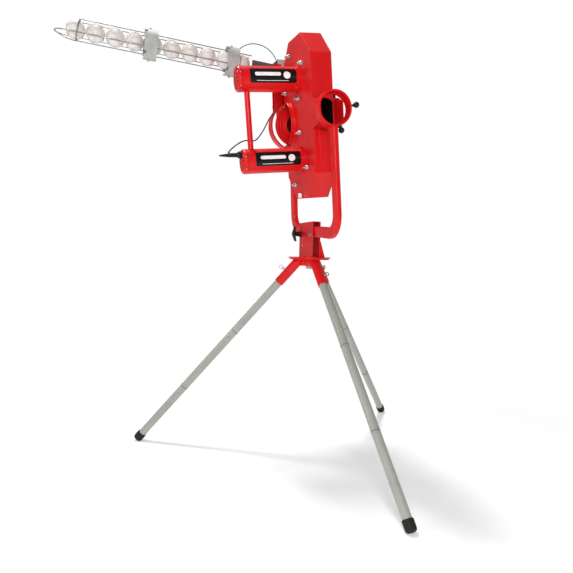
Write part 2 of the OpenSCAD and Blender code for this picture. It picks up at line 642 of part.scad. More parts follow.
// plug, strain relief and lead that runs up to the head
module power_lead() color(dark) in_head() translate([hxc, my0, -wz]) {
  translate([0, -1, 27]) rotate([90, 0, 0]) {
    translate([0, 0, -1]) cylinder(r = 14, h = 10);
    translate([0, 0, 9]) cylinder(r1 = 13, r2 = 8, h = 12);
    translate([0, 0, 21]) cylinder(r = 8, h = 22);
    translate([0, 0, 43]) cylinder(r1 = 8, r2 = 3, h = 44);
  }
}

module wheel_bearings() color(zinc) in_head() for (s = [-1, 1]) translate([hxc, 0, s * wz]) {
  translate([0, my0 + 17, 0]) rotate([-90, 0, 0]) tube(20, 8.5, 12);
  translate([0, my1 - 14, 0]) rotate([-90, 0, 0]) tube(20, 8.5, 12);
}

module shaft_part(s) color(zinc) in_head() translate([hxc, 0, s * wz]) {
  translate([0, my0 + 15, 0]) ycyl(8.45, motor_len + ys + 30 - 15);
  translate([0, my0 + 66, 0]) ycyl(mr - 14, 100, $fn = 64);
  translate([0, my0 + 42, 0]) ycyl(16, 20);
  translate([0, 30, 0]) rotate([-90, 0, 0]) cylinder(r = 12, h = 7, $fn = 6);
}
module upper_shaft() shaft_part(1);
module lower_shaft() shaft_part(-1);

module hub_part(s) color([0.7, 0.7, 0.72]) in_head() translate([hxc, 0, s * wz]) rotate([-90, 0, 0]) difference() {
  rotate_extrude($fn = 96) polygon([[8.45, -30], [22, -30], [24, -6], [88, -4], [90, -26], [96, -27],
    [98, -20], [98, 20], [96, 27], [90, 26], [88, 4], [24, 6], [22, 30], [8.45, 30]]);
  for (i = [0 : 5]) rotate([0, 0, i * 60]) translate([57, 0, -20]) cylinder(r = 14, h = 40);
}
module upper_hub() hub_part(1);
module lower_hub() hub_part(-1);

module tyre_part(s) color(dark) in_head() translate([hxc, 0, s * wz]) rotate([-90, 0, 0])
  rotate_extrude($fn = 120) polygon([[98, -20], [96, -27], [112, -29], [118, -27], [wheel_d / 2 - 1.5, -18],
    [wheel_d / 2, -8], [wheel_d / 2, 8], [wheel_d / 2 - 1.5, 18], [118, 27], [112, 29], [96, 27], [98, 20]]);
module upper_tyre() tyre_part(1);
module lower_tyre() tyre_part(-1);

placed() tripod_plate();
placed() leg_sockets();
placed() leg_upper_tubes();
placed() leg_middle_tubes();
placed() leg_lower_tubes();
placed() rubber_feet();
placed() pan_bolt();
placed() thrust_washer();
placed() socket_pins();
placed() front_upper_button();
placed() front_lower_button();
placed() left_upper_button();
placed() left_lower_button();
placed() rear_upper_button();
placed() rear_lower_button();
placed() swivel_plate();
placed() saddle_bracket();
placed() pivot_bolt();
placed() yoke_frame();
placed() front_hoop();
placed() rear_hoop();
placed() tilt_bush();
placed() drop_chute();
placed() feed_trough();
placed() rack_inner();
placed() rack_outer();
placed() rack_collars();
placed() collar_bolts();
placed() gate_housing();
placed() gate_motor();
placed() feeder_cable();
placed() baseballs();
placed() feeder_post();
placed() gate_arm();
placed() tilt_knob();
placed() roll_knob_lower();
placed() roll_knob_side();
placed() near_side_plate();
placed() far_side_plate();
placed() front_band();
placed() rear_band();
placed() exit_tabs();
placed() access_panel();
placed() intake_disc();
placed() cover_bolts();
placed() motor_cans();
placed() motor_caps();
placed() tie_tube();
placed() control_box();
placed() power_lead();
placed() wheel_bearings();
placed() upper_shaft();
placed() upper_hub();
placed() upper_tyre();
placed() lower_shaft();
placed() lower_hub();
placed() lower_tyre();
placed() upper_speed_dial();
placed() lower_speed_dial();
placed() power_switch();
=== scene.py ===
import json, math, random
import bpy, bmesh
import numpy as np
from mathutils import Matrix, Vector
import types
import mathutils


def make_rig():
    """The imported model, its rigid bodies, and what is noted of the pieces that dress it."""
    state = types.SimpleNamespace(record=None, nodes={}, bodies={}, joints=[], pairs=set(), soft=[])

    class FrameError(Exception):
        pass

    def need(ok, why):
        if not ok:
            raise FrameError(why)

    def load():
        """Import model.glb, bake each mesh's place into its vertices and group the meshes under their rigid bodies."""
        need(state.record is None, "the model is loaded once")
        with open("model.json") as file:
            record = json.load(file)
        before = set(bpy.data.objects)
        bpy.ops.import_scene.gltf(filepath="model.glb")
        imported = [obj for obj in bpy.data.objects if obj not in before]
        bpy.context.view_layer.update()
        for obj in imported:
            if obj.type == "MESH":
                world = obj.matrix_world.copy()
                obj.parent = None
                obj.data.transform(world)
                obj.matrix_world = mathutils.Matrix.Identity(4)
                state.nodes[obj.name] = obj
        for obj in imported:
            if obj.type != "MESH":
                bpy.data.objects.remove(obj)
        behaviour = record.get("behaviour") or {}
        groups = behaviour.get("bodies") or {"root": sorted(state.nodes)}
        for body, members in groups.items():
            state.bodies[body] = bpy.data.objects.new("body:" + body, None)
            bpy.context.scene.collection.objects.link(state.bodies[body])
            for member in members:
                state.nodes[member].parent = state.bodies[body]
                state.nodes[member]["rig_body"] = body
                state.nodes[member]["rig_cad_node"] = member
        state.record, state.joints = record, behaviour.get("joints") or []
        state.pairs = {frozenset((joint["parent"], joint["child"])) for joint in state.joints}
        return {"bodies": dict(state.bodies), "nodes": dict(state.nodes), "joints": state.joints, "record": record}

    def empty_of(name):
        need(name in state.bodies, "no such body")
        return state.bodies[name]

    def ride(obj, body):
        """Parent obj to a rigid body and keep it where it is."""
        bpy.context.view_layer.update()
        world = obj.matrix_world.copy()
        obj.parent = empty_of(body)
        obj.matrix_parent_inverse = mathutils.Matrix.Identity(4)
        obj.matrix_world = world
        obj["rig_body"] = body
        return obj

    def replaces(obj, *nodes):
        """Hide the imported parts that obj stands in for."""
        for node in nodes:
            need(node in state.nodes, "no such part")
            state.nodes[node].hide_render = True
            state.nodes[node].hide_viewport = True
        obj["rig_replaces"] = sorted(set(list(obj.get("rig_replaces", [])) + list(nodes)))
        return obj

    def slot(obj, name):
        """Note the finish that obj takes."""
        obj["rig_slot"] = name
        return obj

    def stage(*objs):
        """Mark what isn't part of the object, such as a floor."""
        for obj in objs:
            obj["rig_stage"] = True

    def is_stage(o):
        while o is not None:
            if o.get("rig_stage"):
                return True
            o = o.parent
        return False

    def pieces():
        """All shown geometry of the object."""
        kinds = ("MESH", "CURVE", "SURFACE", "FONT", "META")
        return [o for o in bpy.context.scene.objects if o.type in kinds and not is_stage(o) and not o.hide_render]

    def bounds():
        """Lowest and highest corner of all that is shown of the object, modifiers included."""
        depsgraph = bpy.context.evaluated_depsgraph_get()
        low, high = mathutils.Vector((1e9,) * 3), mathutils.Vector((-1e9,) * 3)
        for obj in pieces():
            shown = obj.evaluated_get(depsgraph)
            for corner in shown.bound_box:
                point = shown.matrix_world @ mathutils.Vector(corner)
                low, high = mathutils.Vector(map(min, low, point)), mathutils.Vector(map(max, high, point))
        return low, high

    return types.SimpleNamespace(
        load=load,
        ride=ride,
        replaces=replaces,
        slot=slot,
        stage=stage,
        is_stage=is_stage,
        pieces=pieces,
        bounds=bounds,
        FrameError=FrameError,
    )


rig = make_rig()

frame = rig.load()
N = frame["nodes"]
cad_lo, cad_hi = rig.bounds()
R = math.radians

# ------------------------------------------------------------------ frames
TILT, LEAN, ROLL = R(4.0), R(4.3), R(2.1)
# the machine is described about the turntable axis, which stands here from the origin
AX = Vector((-151, 195, 0))
MM = Matrix.Scale(0.001, 4) @ Matrix.Translation(AX)
SH = AX * 0.001
PIV = Vector((42, 0, 926))
YOKE = (MM @ Matrix.Translation(PIV) @ Matrix.Rotation(LEAN, 4, "X")
        @ Matrix.Rotation(TILT, 4, "Y") @ Matrix.Translation(-PIV))
HEAD = YOKE @ Matrix.Translation((0, 0, 1385)) @ Matrix.Rotation(ROLL, 4, "X")
RACK = (YOKE @ Matrix.Translation((-278, -273, 1669)) @ Matrix.Rotation(R(-90), 4, "Z")
        @ Matrix.Rotation(R(-8.1), 4, "Y"))


def leg_frame(az):
    return (MM @ Matrix.Rotation(R(az), 4, "Z") @ Matrix.Translation((50, 0, 809))
            @ Matrix.Rotation(math.pi - math.atan2(683, 788), 4, "Y"))


LEGS = [5.9, -114.1, 125.9]
LEG_LEN = math.hypot(683, 788)


# ------------------------------------------------------------------ materials
def mat(name):
    m = bpy.data.materials.new(name)
    m.use_nodes = True
    nt = m.node_tree
    nt.nodes.clear()
    out = nt.nodes.new("ShaderNodeOutputMaterial")
    b = nt.nodes.new("ShaderNodeBsdfPrincipled")
    nt.links.new(b.outputs[0], out.inputs[0])
    return m, nt, b


def nd(nt, kind, **kw):
    n = nt.nodes.new(kind)
    for k, v in kw.items():
        if k in n.inputs:
            n.inputs[k].default_value = v
        else:
            setattr(n, k, v)
    return n


def ramp(nt, src, stops):
    r = nt.nodes.new("ShaderNodeValToRGB")
    e = r.color_ramp.elements
    while len(e) > 1:
        e.remove(e[-1])
    e[0].position, e[0].color = stops[0][0], (*stops[0][1], 1)
    for p, c in stops[1:]:
        x = e.new(p)
        x.color = (*c, 1)
    nt.links.new(src, r.inputs[0])
    return r.outputs[0]


def g(v):
    return (v, v, v)


def coords(nt, scale=(1, 1, 1)):
    tc = nt.nodes.new("ShaderNodeTexCoord")
    mp = nd(nt, "ShaderNodeMapping")
    mp.inputs["Scale"].default_value = scale
    nt.links.new(tc.outputs["Object"], mp.inputs[0])
    return mp.outputs[0]


def noise(nt, vec, scale, detail=4.0, rough=0.55):
    n = nd(nt, "ShaderNodeTexNoise", Scale=scale, Detail=detail, Roughness=rough)
    nt.links.new(vec, n.inputs["Vector"])
    return n.outputs["Fac"]


def mixc(nt, fac, a, b, mode="MIX"):
    m = nt.nodes.new("ShaderNodeMix")
    m.data_type, m.blend_type = "RGBA", mode
    for sock, v in ((m.inputs[0], fac), (m.inputs[6], a), (m.inputs[7], b)):
        if isinstance(v, bpy.types.NodeSocket):
            nt.links.new(v, sock)
        elif isinstance(v, (int, float)):
            sock.default_value = v
        else:
            sock.default_value = (*v, 1)
    return m.outputs[2]


def mathn(nt, op, a, b=0.0):
    m = nd(nt, "ShaderNodeMath", operation=op)
    for i, v in enumerate((a, b)):
        if isinstance(v, bpy.types.NodeSocket):
            nt.links.new(v, m.inputs[i])
        else:
            m.inputs[i].default_value = v
    return m.outputs[0]


def edge_mask(nt, radius):
    """1 on convex and concave edges, 0 on flats, from a rounded-normal comparison."""
    bv = nd(nt, "ShaderNodeBevel", samples=4)
    bv.inputs["Radius"].default_value = radius
    ge = nt.nodes.new("ShaderNodeNewGeometry")
    d = nd(nt, "ShaderNodeVectorMath", operation="DOT_PRODUCT")
    nt.links.new(bv.outputs[0], d.inputs[0])
    nt.links.new(ge.outputs["Normal"], d.inputs[1])
    return mathn(nt, "SUBTRACT", 1.0, d.outputs["Value"])


def finish_bump(nt, b, height, strength, distance=0.001, bevel=0.0):
    bu = nd(nt, "ShaderNodeBump", Strength=strength, Distance=distance)
    nt.links.new(height, bu.inputs["Height"])
    if bevel:
        bv = nd(nt, "ShaderNodeBevel", samples=6)
        bv.inputs["Radius"].default_value = bevel
        nt.links.new(bv.outputs[0], bu.inputs["Normal"])
    nt.links.new(bu.outputs[0], b.inputs["Normal"])


def paint(name, base, dark, rough=0.3, coat=0.35, wear=True, bevel=0.0014, peel=1.0, spec=0.3):
    m, nt, b = mat(name)
    v = coords(nt)
    big = noise(nt, v, 9.0, 3.0)
    col = mixc(nt, ramp(nt, big, [(0.3, g(0)), (0.72, g(1))]), base, dark)
    # fine speckle of dust in the powder coat
    sp = noise(nt, v, 900.0, 2.0)
    col = mixc(nt, ramp(nt, sp, [(0.62, g(0)), (0.8, g(0.35))]), col, tuple(min(1, c * 1.4 + 0.03) for c in base))
    if wear:
        e = edge_mask(nt, 0.0012)
        n2 = noise(nt, v, 140.0, 5.0)
        worn = mathn(nt, "MULTIPLY", ramp(nt, e, [(0.02, g(0)), (0.12, g(1))]),
                     ramp(nt, n2, [(0.56, g(0)), (0.66, g(1))]))
        col = mixc(nt, mathn(nt, "MULTIPLY", worn, 0.5), col, tuple(c * 0.35 + 0.12 for c in base))
    nt.links.new(col, b.inputs["Base Color"])
    sm = noise(nt, v, 24.0, 5.0)
    nt.links.new(ramp(nt, sm, [(0.25, g(rough * 0.8)), (0.8, g(rough * 1.35))]), b.inputs["Roughness"])
    b.inputs["Coat Weight"].default_value = coat
    b.inputs["Coat Roughness"].default_value = 0.12
    b.inputs["Specular IOR Level"].default_value = spec
    finish_bump(nt, b, noise(nt, v, 420.0, 2.0), 0.10 * peel, 0.0006, bevel)
    return m


def metal(name, base, rough=0.3, scale=(1, 1, 1), bevel=0.0006, grime=0.4):
    m, nt, b = mat(name)
    v = coords(nt, scale)
    n1 = noise(nt, v, 60.0, 6.0)
    col = mixc(nt, ramp(nt, n1, [(0.3, g(0)), (0.75, g(grime))]), base, tuple(c * 0.55 for c in base))
    sp = noise(nt, v, 700.0, 3.0)
    col = mixc(nt, ramp(nt, sp, [(0.5, g(0)), (0.8, g(0.3))]), col, tuple(min(1, c * 1.25) for c in base))
    nt.links.new(col, b.inputs["Base Color"])
    b.inputs["Metallic"].default_value = 1.0
    nt.links.new(ramp(nt, n1, [(0.2, g(rough * 0.75)), (0.8, g(rough * 1.4))]), b.inputs["Roughness"])
    finish_bump(nt, b, sp, 0.12, 0.0004, bevel)
    return m


def plastic(name, base, rough=0.45, grain=500.0, bump=0.25, bevel=0.001, coat=0.0, spec=0.35):
    m, nt, b = mat(name)
    v = coords(nt)
    n1 = noise(nt, v, 30.0, 5.0)
    col = mixc(nt, ramp(nt, n1, [(0.35, g(0)), (0.75, g(0.6))]), base, tuple(c * 1.6 + 0.006 for c in base))
    e = edge_mask(nt, 0.001)
    col = mixc(nt, mathn(nt, "MULTIPLY", ramp(nt, e, [(0.02, g(0)), (0.2, g(1))]), 0.35), col,
               tuple(min(1, c * 1.5 + 0.05) for c in base))
    nt.links.new(col, b.inputs["Base Color"])
    nt.links.new(ramp(nt, n1, [(0.2, g(rough * 0.85)), (0.8, g(rough * 1.25))]), b.inputs["Roughness"])
    b.inputs["Coat Weight"].default_value = coat
    b.inputs["Specular IOR Level"].default_value = spec
    finish_bump(nt, b, noise(nt, v, grain, 2.0), bump, 0.0004, bevel)
    return m


RED = paint("red_powder_coat", (0.70, 0.005, 0.007), (0.60, 0.004, 0.006), rough=0.34, coat=0.10, spec=0.22)
# near-black for the sheets inside the housing: painted shade of its dark interior
SHADE_SHEET_BLACK = plastic("painted_shade_black", (0.0035, 0.0033, 0.0033), 0.85, 300.0, 0.3, spec=0.05)
SILVER = paint("silver_leg_paint", (0.375, 0.38, 0.34), (0.315, 0.32, 0.285), rough=0.36, coat=0.25, bevel=0.001, spec=0.5)
BROWN = paint("trough_enamel", (0.115, 0.085, 0.078), (0.08, 0.06, 0.055), rough=0.5, coat=0.05)
GREY = plastic("grey_nylon", (0.36, 0.375, 0.365), 0.5, 380.0, 0.3)
BLACK = plastic("black_plastic", (0.006, 0.006, 0.0065), 0.42, 520.0, 0.3, spec=0.25)
RUBBER = plastic("foot_rubber", (0.010, 0.0075, 0.007), 0.6, 260.0, 0.5, spec=0.3)
TYRE = plastic("tyre_rubber", (0.016, 0.016, 0.016), 0.75, 180.0, 0.7)
WHITE = plastic("white_acetal", (0.72, 0.71, 0.68), 0.4, 300.0, 0.12)
ZINC = metal("zinc_plate", (0.46, 0.46, 0.47), 0.30)
WIRE = metal("rack_wire_steel", (0.25, 0.25, 0.25), 0.36, (1, 0.2, 1))
ALU = metal("cast_alloy", (0.62, 0.62, 0.64), 0.42)
LABEL = plastic("label_gloss_black", (0.003, 0.003, 0.0035), 0.22, 60.0, 0.03, 0.0004, 0.1, 0.2)
PRINT = plastic("label_white_print", (0.80, 0.80, 0.79), 0.3, 200.0, 0.05, 0.0)
LEATHER, nt, b = mat("ball_leather")
v = coords(nt)
n1 = noise(nt, v, 30.0, 5.0)
col = mixc(nt, ramp(nt, n1, [(0.35, g(0)), (0.75, g(1))]), (0.76, 0.74, 0.71), (0.70, 0.66, 0.62))
vo = nd(nt, "ShaderNodeTexVoronoi", Scale=620.0)
nt.links.new(v, vo.inputs["Vector"])
sc = noise(nt, v, 110.0, 6.0)
col = mixc(nt, ramp(nt, sc, [(0.62, g(0)), (0.74, g(0.45))]), col, (0.64, 0.56, 0.49))
nt.links.new(col, b.inputs["Base Color"])
b.inputs["Roughness"].default_value = 0.5
b.inputs["Subsurface Weight"].default_value = 0.04
finish_bump(nt, b, mathn(nt, "ADD", vo.outputs["Distance"], n1), 0.25, 0.0004)
THREAD, nt, b = mat("red_thread")
v = coords(nt)
w = nd(nt, "ShaderNodeTexNoise", Scale=1500.0, Detail=3.0)
nt.links.new(v, w.inputs["Vector"])
nt.links.new(mixc(nt, w.outputs["Fac"], (0.66, 0.42, 0.38), (0.76, 0.56, 0.50)), b.inputs["Base Color"])
b.inputs["Roughness"].default_value = 0.7
finish_bump(nt, b, w.outputs["Fac"], 0.4, 0.0003)

GROUPS = {
    RED: "tripod_plate leg_sockets swivel_plate saddle_bracket yoke_frame front_hoop rear_hoop drop_chute feeder_post "
         "near_side_plate far_side_plate front_band rear_band exit_tabs access_panel motor_cans motor_caps tie_tube "
         "intake_disc",
    SILVER: "leg_upper_tubes leg_middle_tubes leg_lower_tubes",
    GREY: "rack_collars gate_housing",
    BROWN: "feed_trough",
    ZINC: "pan_bolt socket_pins pivot_bolt tilt_bush collar_bolts cover_bolts wheel_bearings upper_shaft lower_shaft "
          "front_upper_button front_lower_button left_upper_button left_lower_button rear_upper_button rear_lower_button",
    WIRE: "rack_inner rack_outer",
    BLACK: "gate_motor feeder_cable tilt_knob roll_knob_side roll_knob_lower control_box power_lead "
           "upper_speed_dial lower_speed_dial power_switch",
    WHITE: "thrust_washer gate_arm",
    RUBBER: "rubber_feet",
    TYRE: "upper_tyre lower_tyre",
    ALU: "upper_hub lower_hub",
    LEATHER: "baseballs",
}
for m, names in GROUPS.items():
    for n in names.split():
        o = N[n]
        o.data.materials.clear()
        o.data.materials.append(m)


# ------------------------------------------------------------------ mesh helpers
def build(name, verts, faces, M, material, body, smooth=40.0, replaces=()):
    me = bpy.data.meshes.new(name)
    me.from_pydata([M @ Vector(p) for p in verts], [], faces)
    me.validate()
    bm = bmesh.new()
    bm.from_mesh(me)
    bmesh.ops.remove_doubles(bm, verts=bm.verts, dist=2e-6)
    bmesh.ops.recalc_face_normals(bm, faces=bm.faces)
    bm.to_mesh(me)
    bm.free()
    if smooth:
        for p in me.polygons:
            p.use_smooth = True
        try:
            me.set_sharp_from_angle(angle=R(smooth))
        except Exception:
            pass
    me.materials.append(material)
    o = bpy.data.objects.new(name, me)
    bpy.context.scene.collection.objects.link(o)
    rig.ride(o, body)
    if replaces:
        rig.replaces(o, *replaces)
    return o


class Mesh:
    """Collects vertices and faces of one piece."""

    def __init__(s):
        s.v, s.f = [], []

    def add(s, verts, faces):
        k = len(s.v)
        s.v += [tuple(p) for p in verts]
        s.f += [tuple(i + k for i in q) for q in faces]

    def sweep(s, pts, r, n=8, closed=False, cap=True):
        """Round tube along a list of points; r is a number or one number per point."""
        P = [Vector(p) for p in pts]
        m = len(P)
        rr = r if isinstance(r, (list, tuple)) else [r] * m
        rings, up = [], None
        for i, p in enumerate(P):
            a = P[(i - 1) % m] if (closed or i > 0) else p
            c = P[(i + 1) % m] if (closed or i < m - 1) else p
            t = (c - a).normalized()
            if up is None:
                up = Vector((0, 0, 1)) if abs(t.z) < 0.9 else Vector((1, 0, 0))
            x = (up - t * up.dot(t)).normalized()
            up = x
            y = t.cross(x)
            rings.append([p + (x * math.cos(2 * math.pi * j / n) + y * math.sin(2 * math.pi * j / n)) * rr[i]
                          for j in range(n)])
        verts = [q for ring in rings for q in ring]
        faces = []
        for i in range(m if closed else m - 1):
            for j in range(n):
                a, b2 = i * n + j, i * n + (j + 1) % n
                c, d2 = ((i + 1) % m) * n + (j + 1) % n, ((i + 1) % m) * n + j
                faces.append((a, b2, c, d2))
        if cap and not closed:
            faces.append(tuple(range(n - 1, -1, -1)))
            faces.append(tuple((m - 1) * n + j for j in range(n)))
        s.add(verts, faces)

    def lathe(s, prof, M=None, n=48):
        """Revolve (radius, height) pairs round Z; a radius of 0 closes the end."""
        verts, faces, rows = [], [], []
        for r, z in prof:
            if r < 1e-6:
                rows.append([len(verts)])
                verts.append(Vector((0, 0, z)))
            else:
                rows.append(list(range(len(verts), len(verts) + n)))
                verts += [Vector((r * math.cos(2 * math.pi * j / n), r * math.sin(2 * math.pi * j / n), z))
                          for j in range(n)]
        for a, b2 in zip(rows, rows[1:]):
            for j in range(n):
                k = (j + 1) % n
                if len(a) == 1 and len(b2) == 1:
                    continue
                if len(a) == 1:
                    faces.append((a[0], b2[j], b2[k]))
                elif len(b2) == 1:
                    faces.append((a[j], a[k], b2[0]))
                else:
                    faces.append((a[j], a[k], b2[k], b2[j]))
        if M is not None:
            verts = [M @ p for p in verts]
        s.add(verts, faces)

    def plate(s, outline, thick, place, inset=0.4):
        """Flat or curved plate: outline is a list of (u, v); place(u, v, h) gives a point. Edges are rounded."""
        n = len(outline)
        cu = sum(p[0] for p in outline) / n
        cv = sum(p[1] for p in outline) / n

        def ring(k, h):
            out = []
            for i, (u, v2) in enumerate(outline):
                a, c = outline[i - 1], outline[(i + 1) % n]
                t = Vector((c[0] - a[0], c[1] - a[1])).normalized()
                nn = Vector((-t.y, t.x))
                if nn.dot(Vector((cu - u, cv - v2))) < 0:
                    nn = -nn
                out.append(place(u + nn.x * k, v2 + nn.y * k, h))
            return out
        rings = [ring(0, 0), ring(0, thick - inset), ring(inset * 0.3, thick - inset * 0.3), ring(inset, thick)]
        verts = [p for q in rings for p in q]
        faces = []
        for i in range(3):
            for j in range(n):
                k = (j + 1) % n
                faces.append((i * n + j, i * n + k, (i + 1) * n + k, (i + 1) * n + j))
        s.add(verts, faces)
        return rings

    def to(s, name, M, material, body, **kw):
        return build(name, s.v, s.f, M, material, body, **kw)


def T(x, y, z):
    return Matrix.Translation((x, y, z))


def rot(a, ax):
    return Matrix.Rotation(R(a), 4, ax)


# ------------------------------------------------------------------ baseballs
BALL_R = 36.8


def seam(t, r, a=0.4):
    h = math.pi / 2 - (math.pi / 2 - a) * math.cos(t)
    k = t / 2 + a * math.sin(2 * t)
    return Vector((math.sin(h) * math.cos(k), math.sin(h) * math.sin(k), math.cos(h))) * r


bm = bmesh.new()
bmesh.ops.create_icosphere(bm, subdivisions=5, radius=BALL_R * 0.001)
SK = [seam(4 * math.pi * i / 480, 1.0) for i in range(480)]
ska = np.array([list(p) for p in SK])
for vtx in bm.verts:
    d = np.array(vtx.co) / (BALL_R * 0.001)
    ang = math.acos(min(1.0, float((ska @ d).max()))) * BALL_R
    # raised welt either side of the seam, and a shallow groove in it
    lift = 0.32 * math.exp(-((ang - 1.5) / 1.2) ** 2) - 0.45 * math.exp(-(ang / 0.7) ** 2)
    vtx.co *= (BALL_R - 0.35 + lift) / BALL_R
ball_mesh = bpy.data.meshes.new("ball_mesh")
bm.to_mesh(ball_mesh)
bm.free()
for p in ball_mesh.polygons:
    p.use_smooth = True
ball_mesh.materials.append(LEATHER)
st = Mesh()
COUNT = 108
L = [seam(4 * math.pi * i / 4320, BALL_R) for i in range(4321)]
acc = [0.0]
for p, q in zip(L, L[1:]):
    acc.append(acc[-1] + (q - p).length)
idx, targets = 0, [acc[-1] * (i + 0.5) / COUNT for i in range(COUNT)]
for tg in targets:
    while acc[idx] < tg:
        idx += 1
    p, q = L[idx], L[(idx + 4) % 4320]
    t = (q - p).normalized()
    nrm = p.normalized()
    side = nrm.cross(t).normalized()
    for sgn in (-1, 1):
        pts = []
        for k in range(5):
            f = k / 4
            off = side * sgn * (0.5 + 3.6 * f) + t * (2.1 * f)
            w = (p + off).normalized() * (BALL_R + 0.30 - 0.75 * abs(f - 0.45) ** 1.5)
            pts.append(w)
        st.sweep(pts, [0.3, 0.42, 0.42, 0.38, 0.2], 6)
rng = random.Random(7)
for i in range(10):
    Mb = RACK @ T((i - 1) * 75.1, 0, 0)
    loc = Mb.to_translation()
    q = Matrix.Rotation(rng.uniform(0, 6.28), 4, Vector((rng.uniform(-1, 1), rng.uniform(-1, 1), rng.uniform(-1, 1))).normalized())
    o = bpy.data.objects.new(f"baseball_{i}", ball_mesh)
    bpy.context.scene.collection.objects.link(o)
    o.matrix_world = Matrix.Translation(loc) @ q
    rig.ride(o, "yoke")
    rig.slot(o, "ball_leather")
    if i == 0:
        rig.replaces(o, "baseballs")
        sm = bpy.data.meshes.new("stitch_mesh")
        sm.from_pydata([tuple(c * 0.001 for c in p) for p in st.v], [], st.f)
        for p in sm.polygons:
            p.use_smooth = True
        sm.materials.append(THREAD)
    so = bpy.data.objects.new(f"baseball_stitching_{i}", sm)
    bpy.context.scene.collection.objects.link(so)
    so.matrix_world = Matrix.Translation(loc) @ q
    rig.ride(so, "yoke")
    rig.slot(so, "red_paint")

# ------------------------------------------------------------------ motors
MZ, MR, MY0 = 156.0, 48.0, -288.5


def rounded(w, h, r, n=8):
    out = []
    for cx, cy, a0 in ((w / 2 - r, h / 2 - r, 0), (-w / 2 + r, h / 2 - r, 90), (-w / 2 + r, -h / 2 + r, 180), (w / 2 - r, -h / 2 + r, 270)):
        for k in range(n + 1):
            a = R(a0 + 90 * k / n)
            out.append((cx + r * math.cos(a), cy + r * math.sin(a)))
    return out


def curved_label(mesh, sz, yc, w, h, r, lift, thick, ang0, uc=0.0, vc=0.0):
    """Rounded plate wrapped on a motor can, with a filled top."""
    ol = rounded(w, h, r, 8)
    Rr = MR + lift

    def place(u, v2, hh):
        a = ang0 + (v2 + vc) / Rr
        rad = Rr + hh
        return Vector((4 + rad * math.cos(a), yc + uc + u, sz * MZ + rad * math.sin(a)))
    mesh.plate(ol, thick, place, min(0.3, thick * 0.5))
    # top surface as strips, so that it follows the curve
    nu, nv = 26, 14
    grid = {}
    verts, faces = [], []
    for j in range(nv + 1):
        v2 = -h / 2 + h * j / nv
        dy = abs(v2) - (h / 2 - r)
        half = w / 2 - (r - math.sqrt(max(0.0, r * r - dy * dy)) if dy > 0 else 0.0)
        for i in range(nu + 1):
            u = -half + 2 * half * i / nu
            grid[i, j] = len(verts)
            verts.append(place(u * 0.997, v2 * 0.995, thick))
    for j in range(nv):
        for i in range(nu):
            faces.append((grid[i, j], grid[i + 1, j], grid[i + 1, j + 1], grid[i, j + 1]))
    mesh.add(verts, faces)


